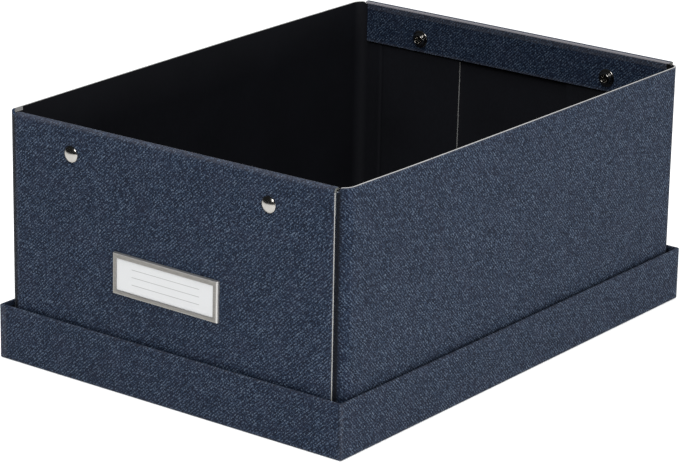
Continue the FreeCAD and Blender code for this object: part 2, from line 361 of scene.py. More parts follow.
def nickel():
    """Bright nickel plate with fine handling marks."""
    tree = Tree("nickel_plate")
    place = tree.place()
    scratch, _ = tree.noise(tree.scaled(place, (2600.0, 2600.0, 300.0)), 1.0, 3.0, 0.7)
    smudge, _ = tree.noise(place, 420.0, 2.0)
    rough = tree.math("MULTIPLY_ADD", scratch, 0.08, tree.math("MULTIPLY_ADD", smudge, 0.12, 0.07))
    colour = tree.mix(smudge, (0.33, 0.315, 0.29), (0.43, 0.42, 0.40))
    tree.bump(scratch, 0.000004, 0.5)
    return tree.set(Base_Color=colour, Metallic=1.0, Roughness=rough)


def holder_metal():
    """Satin grey metal, brushed along its length, with painted highlights along the frame's bevels."""
    tree = Tree("satin_metal")
    place = tree.place()
    brushed, _ = tree.noise(tree.scaled(place, (260.0, 2200.0, 2200.0)), 1.0, 3.0, 0.6)
    cloud, _ = tree.noise(place, 130.0, 2.0)
    colour = tree.mix(tree.span(brushed, 0.3, 0.7), (0.175, 0.168, 0.155), (0.245, 0.238, 0.222))
    # Painted highlight: the bevels are mixed towards pale grey
    edge = tree.attribute("wear_and_painted_light")
    colour = tree.mix(edge, colour, (0.62, 0.61, 0.59))
    rough = tree.math("MULTIPLY_ADD", cloud, 0.12, 0.34)
    tree.bump(brushed, 0.000012, 0.5)
    return tree.set(Base_Color=colour, Metallic=0.85, Roughness=rough)


def ruled_lines(tree):
    """Three faint lines across the middle of the card, as an amount of ink."""
    across, up, _ = tree.split(tree.uv())
    off_middle = tree.math("ABSOLUTE", tree.math("SUBTRACT", across, LABEL_X))
    ink = None
    for line in (-1, 0, 1):
        off = tree.math("ABSOLUTE", tree.math("SUBTRACT", up, LABEL_MIDDLE + line * RULED_LINE_GAP))
        stroke = tree.span(off, 0.10, 0.22, 1.0, 0.0)
        ink = stroke if ink is None else tree.math("MAXIMUM", ink, stroke)
    inside = tree.span(off_middle, RULED_LINE_HALF, RULED_LINE_HALF + 0.3, 1.0, 0.0)
    return tree.math("MULTIPLY", tree.math("MULTIPLY", ink, inside), 0.75)


def card_paper():
    """Off-white card with faint fibres and ruled lines to write on."""
    tree = Tree("label_card_paper")
    place = tree.place()
    fibres, _ = tree.noise(tree.scaled(place, (900.0, 900.0, 1500.0)), 1.0, 4.0, 0.7)
    cloud, _ = tree.noise(place, 60.0, 2.0)
    grain = tree.math("MULTIPLY_ADD", fibres, 0.5, tree.math("MULTIPLY", cloud, 0.5))
    paper = tree.mix(grain, (0.60, 0.61, 0.615), (0.68, 0.685, 0.69))
    paper = tree.mix(ruled_lines(tree), paper, (0.20, 0.20, 0.20))
    tree.bump(fibres, 0.00002, 0.4)
    roughness = tree.span(fibres, 0.2, 0.8, 0.75, 0.6)
    return tree.set(Base_Color=paper, Roughness=roughness, Specular_IOR_Level=0.3)


def pale_floor():
    """The studio's pale floor, glowing a little so that it stays near white."""
    tree = Tree("pale_floor")
    soft, _ = tree.noise(tree.place(), 3.0, 2.0)
    colour = tree.mix(soft, (0.86, 0.86, 0.86), (0.88, 0.88, 0.88))
    return tree.set(
        Base_Color=colour,
        Roughness=0.9,
        Specular_IOR_Level=0.1,
        Emission_Color=(1.0, 1.0, 1.0, 1.0),
        Emission_Strength=0.35,
    )


TWILL = twill()
CORE = board_edge("grey_board_edge", (0.52, 0.52, 0.515), (0.33, 0.33, 0.325))
DULL = board_edge("rolled_board_edge", (0.17, 0.175, 0.16), (0.085, 0.09, 0.085))
DARK_PLY = board_edge("dark_board_edge", (0.030, 0.029, 0.028), (0.010, 0.010, 0.010))
BLACK = black_paper()
NICKEL = nickel()
HOLDER = holder_metal()
CARD = card_paper()


# Mesh building


def make_object(name, points, faces, materials, face_materials, uvs, wear_and_painted_light=None, sharp=35.0):
    """A mesh object from points in millimetres, with the weave's UV map and a value per point for wear
    and painted light.
    """
    mesh = bpy.data.meshes.new(name)
    mesh.from_pydata([tuple(float(c) * MM for c in p) for p in points], [], faces)
    for material in materials:
        mesh.materials.append(material)
    mesh.polygons.foreach_set("material_index", face_materials)
    layer = mesh.uv_layers.new(name="weave")
    layer.data.foreach_set("uv", [float(c) for face in uvs for pair in face for c in pair])
    values = mesh.attributes.new("wear_and_painted_light", "FLOAT", "POINT")
    if wear_and_painted_light is not None:
        values.data.foreach_set("value", [float(w) for w in wear_and_painted_light])
    fixed = bmesh.new()
    fixed.from_mesh(mesh)
    bmesh.ops.recalc_face_normals(fixed, faces=fixed.faces)
    fixed.to_mesh(mesh)
    fixed.free()
    mesh.shade_smooth()
    mesh.set_sharp_from_angle(angle=math.radians(sharp))
    thing = bpy.data.objects.new(name, mesh)
    bpy.context.scene.collection.objects.link(thing)
    return thing


def plain_uvs(faces):
    """UVs for pieces whose material doesn't use the weave."""
    return [[(0.0, 0.0)] * len(face) for face in faces]


def closed_band(a, b):
    """The faces between two closed loops of points that match one to one."""
    count = len(a)
    return [[a[n], a[(n + 1) % count], b[(n + 1) % count], b[n]] for n in range(count)]


class Grid:
    """Rows of matching outer and inner points, with the weave's place and the value for wear and painted
    light at each.
    """

    def __init__(self):
        self.outer, self.inner, self.uv, self.wear_and_painted_light = [], [], [], []

    def new_row(self):
        for rows in (self.outer, self.inner, self.uv, self.wear_and_painted_light):
            rows.append([])

    def add(self, outer, inner, uv, wear_and_painted_light=0.0):
        self.outer[-1].append(outer)
        self.inner[-1].append(inner)
        self.uv[-1].append(uv)
        self.wear_and_painted_light[-1].append(wear_and_painted_light)


def thick_sheet(name, grid, skins, edge_layers, grey_patch=None, edge_rule=None):
    """A sheet of board between a grid's outer and inner points. skins are the materials of its
    outer and inner faces; edge_layers are (end of the layer as a share of the thickness, material).
    grey_patch(i, j) tells where the inner face is pale board-grey instead of its skin, and
    edge_rule(i, j, layer) may give another material for a part of the cut edge."""
    outer = np.asarray(grid.outer, float)
    inner = np.asarray(grid.inner, float)
    rows, columns = outer.shape[:2]
    points = [*outer.reshape(-1, 3), *inner.reshape(-1, 3)]
    faces, face_materials, uvs, materials = [], [], [], []

    def paint(material):
        if material not in materials:
            materials.append(material)
        face_materials.append(materials.index(material))

    for base, material in ((0, skins[0]), (rows * columns, skins[1])):
        for i in range(rows - 1):
            for j in range(columns - 1):
                corners = ((i, j), (i, j + 1), (i + 1, j + 1), (i + 1, j))
                faces.append([base + a * columns + b for a, b in corners])
                uvs.append([grid.uv[a][b] for a, b in corners])
                in_grey_patch = base > 0 and grey_patch is not None and grey_patch(i, j)
                paint(CORE if in_grey_patch else material)
    border = [(0, j) for j in range(columns)]
    border += [(i, columns - 1) for i in range(1, rows)]
    border += [(rows - 1, j) for j in range(columns - 2, -1, -1)]
    border += [(i, 0) for i in range(rows - 2, 0, -1)]
    loops = [[a * columns + b for a, b in border]]
    for share, _ in edge_layers[:-1]:
        loops.append(list(range(len(points), len(points) + len(border))))
        points += [outer[a, b] * (1 - share) + inner[a, b] * share for a, b in border]
    loops.append([rows * columns + a * columns + b for a, b in border])
    for layer, (_, material) in enumerate(edge_layers):
        for n, face in enumerate(closed_band(loops[layer], loops[layer + 1])):
            i, j = border[n]
            next_i, next_j = border[(n + 1) % len(border)]
            other = edge_rule(i, j, layer) if edge_rule is not None else None
            paint(other or material)
            a, b = grid.uv[i][j], grid.uv[next_i][next_j]
            faces.append(face)
            uvs.append([a, b, (b[0] + 0.3, b[1] + 0.3), (a[0] + 0.3, a[1] + 0.3)])
    wear_and_painted_light = [*np.ravel(grid.wear_and_painted_light), *np.zeros(len(points) - rows * columns)]
    return make_object(name, points, faces, materials, face_materials, uvs, wear_and_painted_light)


def lathe(name, profile, material, at, direction, steps=72, sharp=40.0):
    """A turned piece. profile is (radius, depth) pairs; depth runs along direction from at."""
    axis = Vector(direction).normalized()
    side = Vector((1, 0, 0))
    up = axis.cross(side)
    points, rings = [], []
    for radius, depth in profile:
        centre = Vector(at) + axis * depth
        if radius < 1e-6:
            rings.append([len(points)] * steps)
            points.append(centre)
            continue
        rings.append(list(range(len(points), len(points) + steps)))
        for k in range(steps):
            turn = 2 * math.pi * k / steps
            points.append(centre + (side * math.cos(turn) + up * math.sin(turn)) * radius)
    faces = []
    for a, b in zip(rings, rings[1:]):
        for band_face in closed_band(a, b):
            face = list(dict.fromkeys(band_face))
            if len(face) >= 3:
                faces.append(face)
    return make_object(name, points, faces, [material], [0] * len(faces), plain_uvs(faces), None, sharp)


def copied(thing, name, matrix):
    """A copy of a finished piece, moved by a matrix that may mirror it."""
    mesh = thing.data.copy()
    mesh.transform(matrix)
    if matrix.determinant() < 0:
        mesh.flip_normals()
    twin = bpy.data.objects.new(name, mesh)
    bpy.context.scene.collection.objects.link(twin)
    return twin


def cut_away(thing, tools):
    """Takes the tools' shapes out of a piece and deletes the tools."""
    for tool in tools:
        cut = thing.modifiers.new("cut", "BOOLEAN")
        cut.operation = "DIFFERENCE"
        cut.solver = "EXACT"
        cut.object = tool
    bpy.context.view_layer.update()
    graph = bpy.context.evaluated_depsgraph_get()
    mesh = bpy.data.meshes.new_from_object(thing.evaluated_get(graph), depsgraph=graph)
    thing.modifiers.clear()
    thing.data = mesh
    for tool in tools:
        bpy.data.objects.remove(tool)


def drill(thing, places, radius, low, high):
    """Round holes through a piece along Y, from low to high, at (x, z) places."""
    rod = [(0, 0), (radius, 0), (radius, high - low), (0, high - low)]
    cut_away(thing, [lathe("hole_cutter", rod, CORE, (x, low, z), (0, 1, 0), 48) for x, z in places])


TO_REAR = Matrix.Rotation(math.pi, 4, "Z")
TO_LEFT = Matrix.Scale(-1, 4, (1, 0, 0))


def smooth_step(value, low, high):
    """Eases from 0 at low to 1 at high."""
    t = min(1.0, max(0.0, (value - low) / (high - low)))
    return t * t * (3 - 2 * t)


def wander(*place):
    """A smooth random number from -1 to 1, fixed for each place."""
    return noise.noise(Vector(place))


def weave(across, along):
    """Millimetres on the covering, as repeats of the weave."""
    return (across * WEAVE_U, along * WEAVE_V)


EDGE_LAYERS = [(0.04, TWILL), (LIGHT_PLY, CORE), (1.0, DARK_PLY)]
PANEL_EDGE_LAYERS = [(0.06, TWILL), (0.55, CORE), (1.0, DARK_PLY)]


# The box's two long sides, each one sheet with a flap bent round at either end


def side_path():
    """Stations round the right-hand sheet: (outer point, outward normal)."""
    stations = []
    bend_y = -(HALF_LENGTH - FLAP_DEPTH) + CORNER_RADIUS
    bend_x = WALL_X - CORNER_RADIUS
    flap_y = bend_y - CORNER_RADIUS
    flap_x = [FLAP_END, FLAP_END + 0.5]
    flap_x += list(np.linspace(FLAP_END + 4, CREASE_X - 5, 16))
    flap_x += list(np.arange(CREASE_X - 4, CREASE_X + 4.01, 0.5))
    flap_x += list(np.linspace(CREASE_X + 5, bend_x, 6))
    for x in flap_x:
        stations.append(((x, flap_y), (0.0, -1.0)))
    for step in range(1, 16):
        turn = math.radians(-90 + 90 * step / 16)
        normal = (math.cos(turn), math.sin(turn))
        point = (bend_x + CORNER_RADIUS * normal[0], bend_y + CORNER_RADIUS * normal[1])
        stations.append((point, normal))
    for y in [bend_y, GREY_PATCH_END, *np.linspace(GREY_PATCH_END + 3.0, 0, 33)]:
        stations.append(((WALL_X, y), (1.0, 0.0)))
    mirrored = [((x, -y), (a, -b)) for (x, y), (a, b) in stations[-2::-1]]
    return stations + mirrored


def rim_lift(x):
    """The front rim stands a little out of level: low at its left end, high at its right."""
    return -0.45 + 0.95 * x / PANEL_HALF


def level_rim(x):
    """The rear rim is level."""
    return 0.0


def wall_lift(y, side):
    """How far a long wall's top stands above or below its nominal height."""
    if side < 0:
        return -0.0061 * max(0.0, 35.0 - y)
    return 0.30 - 0.0040 * y + 0.45 * math.exp(-(((y + 165.0) / 40.0) ** 2))


def side_top(x, y, side):
    """The sheet's top edge drops where its flap runs in under the rim."""
    inside = smooth_step(WALL_X - x, WALL_X - 121.0, WALL_X - 118.9)
    wall = SIDE_TOP + wall_lift(y, side)
    flap = FLAP_TOP + (min(0.0, rim_lift(side * x)) if y < 0 else 0.0)
    return wall + (flap - wall) * inside


def flap_taper(x, z):
    """The flap's free edge leans out a little towards its top."""
    free = 1 - smooth_step(x, FLAP_END, FLAP_END + 14)
    return free * 1.7 * (z / FLAP_TOP - 0.45)


def side_bow(y, z):
    """The long wall's slight bow, none at its bends or its floor."""
    along = max(0.0, 1 - (y / 158.0) ** 2)
    return along * (0.35 * (z / SIDE_TOP) ** 2 + 0.12 * wander(y * 0.012, z * 0.02, 3.1))


def painted_gap_shade(x, y):
    """Painted shade in the gap where the sheet leaves the end panel's edge, darkest in a narrow line up
    the sheet.
    """
    off = x - (PANEL_HALF + 1.1)
    at_end = 1.0 if abs(y) > HALF_LENGTH - 10 else 0.0
    return -at_end * (math.exp(-((off / 1.0) ** 2)) + 0.45 * math.exp(-((off / 3.2) ** 2)))


def flap_groove(x):
    """The scored line down a flap's inner face, with the low ridge beside it."""
    off = x - CREASE_X
    return 0.42 * math.exp(-((off / 0.9) ** 2)) - 0.16 * math.exp(-(((off - 2.2) / 1.4) ** 2))


def side_sheet(name, side):
    """One long wall with its two flaps, built on the right; side says which wall it is for."""
    path = side_path()
    grid = Grid()
    distance = 0.0
    previous = path[0][0]
    for (x, y), (nx, ny) in path:
        distance += math.hypot(x - previous[0], y - previous[1])
        previous = (x, y)
        top = side_top(x, y, side)
        groove = flap_groove(x) if nx == 0 else 0.0
        grid.new_row()
        for z in [*np.linspace(BODY_Z, top - 4, 26), top - 2.2, top - 1.2, top - 0.35, top]:
            push = side_bow(y, z) if ny == 0 else 0.0
            thick = BOARD - groove - push
            px = x - flap_taper(x, z)
            # Rubbed pale along the top edge, painted shade beside the end panels' edges
            grid.add(
                (px + nx * push, y + ny * push, z),
                (px - nx * thick, y - ny * thick, z),
                weave(z, distance),
                RUBBED_EDGE if z >= top - 0.4 else painted_gap_shade(x, y),
            )
    top_rows = len(grid.outer[0]) - 4

    def grey_patch(i, j):
        """The inner face is pale board-grey in a small patch at the top of the left wall's front bend."""
        (x, y), _ = path[i]
        return side < 0 and j >= top_rows and x > WALL_X - 1.5 and -HALF_LENGTH < y < GREY_PATCH_END

    def bend_edge(i, j, layer):
        """The same bend's top edge is soiled and dark."""
        (x, y), _ = path[i]
        return TWILL if side < 0 and y < -166.0 and x > STRIP_HALF else None

    return thick_sheet(name, grid, (TWILL, BLACK), EDGE_LAYERS, grey_patch, bend_edge)


def make_sides():
    right = side_sheet("right_side_sheet", 1)
    mirrored = side_sheet("left_side_source", -1)
    for sheet in (right, mirrored):
        drill(sheet, [(STUD_X, STUD_Z)], FLAP_HOLE, -HALF_LENGTH - 1, -HALF_LENGTH + 6)
        drill(sheet, [(STUD_X, STUD_Z)], FLAP_HOLE, HALF_LENGTH - 6, HALF_LENGTH + 1)
    left = copied(mirrored, "left_side_sheet", TO_LEFT)
    bpy.data.objects.remove(mirrored)
    for side, thing in (("right", right), ("left", left)):
        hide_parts(f"{side}_side_wall", f"{side}_front_flap", f"{side}_rear_flap")
        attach(thing, "box")


# The end panels, rolled over at the top


def arc_points(centre, radius, start, end, steps):
    """Points along an arc, from start to end degrees."""
    for k in range(steps + 1):
        turn = math.radians(start + (end - start) * k / steps)
        yield (centre[0] + radius * math.cos(turn), centre[1] + radius * math.sin(turn))


def panel_profile():
    """Matching outer and inner points (depth, height) up the panel and over its rim."""
    fold_z = RIM_TOP - RIM_FOLD_RADIUS
    crisp = 0.12
    near = (RIM_FOLD_RADIUS, fold_z)
    far = (STRIP_DEPTH + BOARD - RIM_FOLD_RADIUS, fold_z)
    outer, inner = [], []
    for z in [*np.linspace(BODY_Z, fold_z - 3, 28), fold_z - 1.2]:
        outer.append((0.0, z))
        inner.append((BOARD, z))
    outer += arc_points(near, RIM_FOLD_RADIUS, 180, 90, 8)
    inner += arc_points((near[0] + crisp, near[1] - crisp), crisp, 180, 90, 8)
    for share in (0.33, 0.67):
        outer.append((near[0] + (far[0] - near[0]) * share, RIM_TOP))
        inner.append((near[0] + (far[0] - near[0]) * share, RIM_TOP - BOARD))
    outer += arc_points(far, RIM_FOLD_RADIUS, 90, 20, 7)
    inner += arc_points((far[0] - crisp, far[1] - crisp), crisp, 90, 20, 7)
    return outer, inner


def panel_bow(x, z):
    """How far the panel's face stands out of true, none at its edges."""
    across = max(0.0, 1 - (x / PANEL_HALF) ** 2)
    height = math.sin(math.pi * min(1.0, max(0.0, (z - BODY_Z) / (RIM_TOP - BODY_Z))))
    return across * height * (0.25 + 0.15 * wander(x * 0.015, z * 0.02, 8.7))


def lengths_along(line):
    """The distance of each point of a line from its start."""
    lengths = [0.0]
    for a, b in zip(line, line[1:]):
        lengths.append(lengths[-1] + math.dist(a, b))
    return lengths


def end_panel(name, left, lift):
    """An end panel from its left edge to its right; lift(x) is how far its rim is out of level."""
    outer_line, inner_line = panel_profile()
    right = PANEL_HALF
    columns = [left, left + 0.3, left + 1.2, *np.linspace(left + 4, right - 4, 40)]
    columns += [right - 1.2, right - 0.3, right]
    grid = Grid()
    for x in columns:
        side = RUBBED_EDGE * math.exp(-((min(x - left, right - x) / 0.8) ** 2))
        grid.new_row()
        for (u, z), (iu, iz), length in zip(outer_line, inner_line, lengths_along(outer_line)):
            y = -HALF_LENGTH - (panel_bow(x, z) if u < 0.01 else 0.0)
            rise = lift(x) * smooth_step(z, 60.0, RIM_TOP - 12)
            # Painted highlight with some rubbing, faint over the rim's outer fold and strong on its inner
            # lip
            fold = PAINTED_RIM_HIGHLIGHT if u > 3.6 else 0.55 * smooth_step(z, RIM_TOP - 3, RIM_TOP - 0.4)
            grid.add((x, y + u, z + rise), (x, y + iu, iz + rise), weave(x, -length), max(fold, side))
    roll_start = next(j for j, (_, z) in enumerate(outer_line) if z >= RIM_TOP - RIM_FOLD_RADIUS)
    roll_end = len(outer_line) - 1

    def rolled(i, j, layer):
        """The rolled rim's cut ends are duller than the edge below them."""
        in_roll = layer > 0 and roll_start <= j < roll_end
        under_roll = layer > 1 and outer_line[j][1] > RIM_TOP - 11
        return DULL if in_roll or under_roll else None

    return thick_sheet(name, grid, (TWILL, BLACK), PANEL_EDGE_LAYERS, None, rolled)


def slot_cutter(x, z):
    """A block that cuts one of the holder's prong slots through the front panel."""
    depths = (-HALF_LENGTH - 1, -HALF_LENGTH + 2.5)
    points = [(px, y, pz) for px in (x - 0.45, x + 0.45) for y in depths for pz in (z - 1.7, z + 1.7)]
    faces = [[0, 1, 3, 2], [4, 6, 7, 5], [0, 4, 5, 1], [2, 3, 7, 6], [0, 2, 6, 4], [1, 5, 7, 3]]
    return make_object("slot_cutter", points, faces, [CORE], [0] * len(faces), plain_uvs(faces))


def make_panels():
    holes = [(-STUD_X, STUD_Z), (STUD_X, STUD_Z)]
    front = end_panel("front_panel", -PANEL_SHORT, rim_lift)
    source = end_panel("rear_panel_source", -PANEL_HALF, level_rim)
    for panel in (front, source):
        drill(panel, holes, PANEL_HOLE, -HALF_LENGTH - 2, -HALF_LENGTH + 2.6)
    rear = copied(source, "rear_panel", TO_REAR)
    bpy.data.objects.remove(source)
    cut_away(front, [slot_cutter(x, z) for x, z, _ in prong_places()])
    for end, thing in (("front", front), ("rear", rear)):
        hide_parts(f"{end}_end_panel")
        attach(thing, "box")


# The fold-over strips and the covering that bends at their creases


def strip_sheet(name):
    """A fold-over strip, hanging from its crease, with its top rounded about the crease."""
    axis_u, axis_z = CREASE_AXIS
    radius = BOARD / 2
    outer_line, inner_line = [], []
    for z in [STRIP_LOW, STRIP_LOW + 0.4, *np.linspace(STRIP_LOW + 2, axis_z - 1.5, 9), axis_z]:
        outer_line.append((STRIP_DEPTH + BOARD, z))
        inner_line.append((STRIP_DEPTH, z))
    for turn in np.radians([20, 40, 60, 80]):
        z = axis_z + radius * math.sin(turn)
        outer_line.append((axis_u + radius * math.cos(turn), z))
        inner_line.append((axis_u - radius * math.cos(turn), z))
    columns = [-STRIP_HALF, -STRIP_HALF + 0.3, *np.linspace(-STRIP_HALF + 4, STRIP_HALF - 4, 40)]
    columns += [STRIP_HALF - 0.3, STRIP_HALF]
    grid = Grid()
    for x in columns:
        grid.new_row()
        for (u, z), (iu, iz) in zip(outer_line, inner_line):
            sway = 0.25 * smooth_step(axis_z - z, 2, 24) * (0.4 + 0.6 * wander(x * 0.02, 1.7, 5.0))
            grid.add(
                (x, -HALF_LENGTH + u + sway, z),
                (x, -HALF_LENGTH + iu + sway, iz),
                weave(x, z - RIM_TO_STRIP - RIM_TOP),
                RUBBED_EDGE if z < STRIP_LOW + 0.5 else 0.0,
            )
    return thick_sheet(name, grid, (TWILL, TWILL), [(0.06, TWILL), (0.55, DARK_PLY), (1.0, DARK_PLY)])


def crease_cover(name, lift):
    """The covering paper that runs from the rim's lip down on to the strip."""
    face = STRIP_DEPTH + BOARD
    centre = (face - RIM_FOLD_RADIUS, RIM_TOP - RIM_FOLD_RADIUS)
    proud = 0.05
    thick = 0.3
    outer_line = list(arc_points(centre, RIM_FOLD_RADIUS + proud, 56, 0, 7))
    inner_line = list(arc_points(centre, RIM_FOLD_RADIUS + proud - thick, 56, 0, 7))
    axis_z = CREASE_AXIS[1]
    for z in np.linspace(axis_z + 0.75, axis_z - 2.25, 11):
        outer_line.append((face + proud, z))
        inner_line.append((face + proud - thick, z))
    grid = Grid()
    for x in np.linspace(-STRIP_HALF, STRIP_HALF, 44):
        grid.new_row()
        for (u, z), (iu, iz) in zip(outer_line, inner_line):
            rise = lift(x) * smooth_step(z, axis_z - 2.0, axis_z + 1.0)
            # Painted highlight along the lip's top, rubbed edge below it
            grid.add(
                (x, -HALF_LENGTH + u, z + rise),
                (x, -HALF_LENGTH + iu, iz + rise),
                weave(x, z - RIM_TO_STRIP - RIM_TOP),
                PAINTED_RIM_HIGHLIGHT if z > RIM_TOP - 1.2 else RUBBED_EDGE,
            )
    return thick_sheet(name, grid, (TWILL, TWILL), [(1.0, TWILL)])


def make_strips():
    front = strip_sheet("front_fold_strip")
    rear = copied(front, "rear_fold_strip", TO_REAR)
    front_cover = crease_cover("front_crease_cover", rim_lift)
    level_cover = crease_cover("rear_cover_source", level_rim)
    rear_cover = copied(level_cover, "rear_crease_cover", TO_REAR)
    bpy.data.objects.remove(level_cover)
    ends = (("front", -1, front, front_cover), ("rear", 1, rear, rear_cover))
    for end, sign, thing, cover in ends:
        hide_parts(f"{end}_strip")
        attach(thing, f"{end}_fold")
        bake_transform(cover)


# The floor of the body


def rounded_outline(half_x, half_y, radius):
    """Points round a rectangle with rounded corners."""
    points = []
    for cx, cy, start in (
        (half_x - radius, half_y - radius, 0),
        (-half_x + radius, half_y - radius, 90),
        (-half_x + radius, -half_y + radius, 180),
        (half_x - radius, -half_y + radius, 270),
    ):
        points += arc_points((cx, cy), radius, start, start + 90, 8)
    return points


def floor_sheet(name, half_x, half_y, radius, low, high, skins, uneven):
    """A floor board in rings round the middle, so that its top can be a little uneven."""
    outline = rounded_outline(half_x, half_y, radius)
    shares = (1.0, 0.985, 0.95, 0.85, 0.7, 0.5, 0.3, 0.12)
    points, faces, face_materials = [], [], []

    def ring(share, z, rough):
        start = len(points)
        for x, y in outline:
            px, py = x * share, y * share
            bump = rough * wander(px * 0.015, py * 0.015, 2.0) if share < 0.99 else 0.0
            points.append((px, py, z + bump))
        return list(range(start, start + len(outline)))

    def cover(new_faces, material):
        faces.extend(new_faces)
        face_materials.extend([material] * len(new_faces))

    tops = [ring(share, high, uneven) for share in shares]
    bottoms = [ring(share, low, 0.0) for share in shares]
    for rings, material in ((tops, 1), (bottoms, 0)):
        for a, b in zip(rings, rings[1:]):
            cover(closed_band(a, b), material)
    cover([tops[-1]], 1)
    cover([bottoms[-1]], 0)
    cover(closed_band(bottoms[0], tops[0]), 2)
    uvs = [[weave(points[v][0], points[v][1]) for v in face] for face in faces]
    return make_object(name, points, faces, [*skins, DARK_PLY], face_materials, uvs)


def make_floor():
    size = (WALL_X - BOARD - 0.1, HALF_LENGTH - FLAP_DEPTH - BOARD - 0.1, CORNER_RADIUS - BOARD)
    top = BODY_Z + BOARD
    board = floor_sheet("bottom_board", *size, BODY_Z, top, (TWILL, DARK_PLY), 0.0)
    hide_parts("bottom_panel")
    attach(board, "box")
    lining = floor_sheet("bottom_lining_sheet", *size, top + 0.01, top + 0.35, (BLACK, BLACK), 0.25)
    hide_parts("bottom_lining")
    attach(lining, "box")


# The lid, upturned


def lid_ring_points(inset, z, radius):
    """Points round one ring of the lid with their outward directions, as many on each ring."""
    half_x = LID_X - inset
    half_y = LID_Y - inset
    corner = max(0.05, radius)
    near = [corner + step for step in (0, 0.5, 1.0, 1.5, 2.5, 4.2, 4.7, 5.2)]
    sides = (
        ((half_x, -half_y), (half_x, half_y), (1, 0), 0),
        ((half_x, half_y), (-half_x, half_y), (0, 1), 90),
        ((-half_x, half_y), (-half_x, -half_y), (-1, 0), 180),
        ((-half_x, -half_y), (half_x, -half_y), (0, -1), 270),
    )
    points = []
    for (x0, y0), (x1, y1), normal, start in sides:
        length = math.hypot(x1 - x0, y1 - y0)
        dx, dy = (x1 - x0) / length, (y1 - y0) / length
        middle = np.linspace(corner + 7, length - corner - 7, 32)
        for t in [*near, *middle, *(length - t for t in near[::-1])]:
            points.append((x0 + dx * t, y0 + dy * t, z, normal))
        cx = x1 - corner * (dx + normal[0])
        cy = y1 - corner * (dy + normal[1])
        for k in range(1, 6):
            turn = math.radians(start + 90 * k / 6)
            c, s = math.cos(turn), math.sin(turn)
            points.append((cx + corner * c, cy + corner * s, z, (round(c), round(s))))
    return points


def lid_profile():
    """(inset, height, corner radius) up the outside, over the rim and down the inside."""
    edge = 0.8
    lip = LID_BOARD / 2
    profile = [(3.0, 0.0, 0.05)]
    for turn in np.radians([270, 250, 230, 210, 180]):
        profile.append((edge + edge * math.cos(turn), edge + edge * math.sin(turn), 0.9))
    for z in np.linspace(3, LID_HEIGHT - 3, 12):
        profile.append((0.0, z, 0.9))
    for turn in np.radians([180, 160, 140, 115, 90, 65, 40, 20, 0]):
        profile.append((lip + lip * math.cos(turn), LID_HEIGHT - lip + lip * math.sin(turn), 0.8))
    for z in (LID_HEIGHT - 2, LID_HEIGHT - LID_TURN_IN - 1, 20.0, 10.0, LID_BOARD + 0.2):
        profile.append((LID_BOARD, z, 0.4))
    profile.append((LID_BOARD + 0.3, LID_BOARD, 0.3))
    return profile


def lid_bow(x, y, z, normal):
    """The lid's walls lean out a touch between their corners."""
    if abs(normal[0]) + abs(normal[1]) != 1:
        return 0.0
    t = y / LID_Y if normal[0] else x / LID_X
    return max(0.0, 1 - t * t) * (z / LID_HEIGHT) * (0.30 + 0.12 * wander(x * 0.01, y * 0.01, 6.0))


def lid_weave(x, y, z, normal, inside):
    """The covering is unfolded flat from the lid's board, so its twill turns at each corner."""
    rise = 2 * LID_HEIGHT - z if inside else z
    if abs(normal[0]) > abs(normal[1]):
        return weave(normal[0] * (LID_X + rise), y)
    if normal[1] != 0:
        return weave(x, normal[1] * (LID_Y + rise))
    return weave(x, y)


def lid_wear(x, y, z, normal, inset):
    """Rubbed at the corners, rim, foot and laps; dark at each lap's edge and down the seams."""
    on_end = normal[1] != 0 and abs(normal[0]) < 0.1
    on_lap = on_end and x * normal[1] > LID_X - LAP_WIDTH
    if on_lap and x * normal[1] < LID_X - LAP_EDGE:
        return -0.5
    on_seam = on_end and not on_lap and abs(LID_X - inset - abs(x) - SEAM_INSET) < 0.3
    if on_seam and inset < 0.1 and 1.5 < z < LID_HEIGHT - 0.5:
        return -0.8
    from_corner = max(0.0, LID_X - abs(x)) + max(0.0, LID_Y - abs(y))
    return max(
        0.5 * math.exp(-((from_corner / 1.6) ** 2)),
        0.45 * math.exp(-(((z - LID_HEIGHT) / 0.8) ** 2)),
        0.4 * math.exp(-((z / 0.7) ** 2)),
        0.45 if on_lap else 0.0,
    )


def wall_of(*normals):
    """The wall a face of the lid belongs to: the first direction that isn't a corner's."""
    for normal in normals:
        if abs(normal[0]) + abs(normal[1]) == 1:
            return normal
    return (normals[-1][0], 0)


def lid_shell():
    """The lid's covered board as one closed shell."""
    points, wear_and_painted_light, flat, rings = [], [], [], []
    for inset, z, radius in lid_profile():
        start = len(points)
        for x, y, height, normal in lid_ring_points(inset, z, radius):
            lean = lid_bow(x, y, z, normal)
            points.append((x + normal[0] * lean, y + normal[1] * lean, height))
            wear_and_painted_light.append(lid_wear(x, y, z, normal, inset))
            flat.append((x, y, z, normal, inset >= LID_BOARD - 0.01 and z > LID_BOARD))
        rings.append(list(range(start, len(points))))
    faces, uvs = [], []
    for a, b in zip(rings, rings[1:]):
        for face in closed_band(a, b):
            wall = wall_of(flat[face[0]][3], flat[face[1]][3])
            faces.append(face)
            uvs.append([lid_weave(*flat[v][:3], wall, flat[v][4]) for v in face])
    face_materials = [0] * len(faces) + [0, 1]
    for loop in (rings[0], rings[-1]):
        faces.append(loop)
        uvs.append([weave(points[v][0], points[v][1]) for v in loop])
    return make_object("lid_shell", points, faces, [TWILL, BLACK], face_materials, uvs, wear_and_painted_light, 50.0)


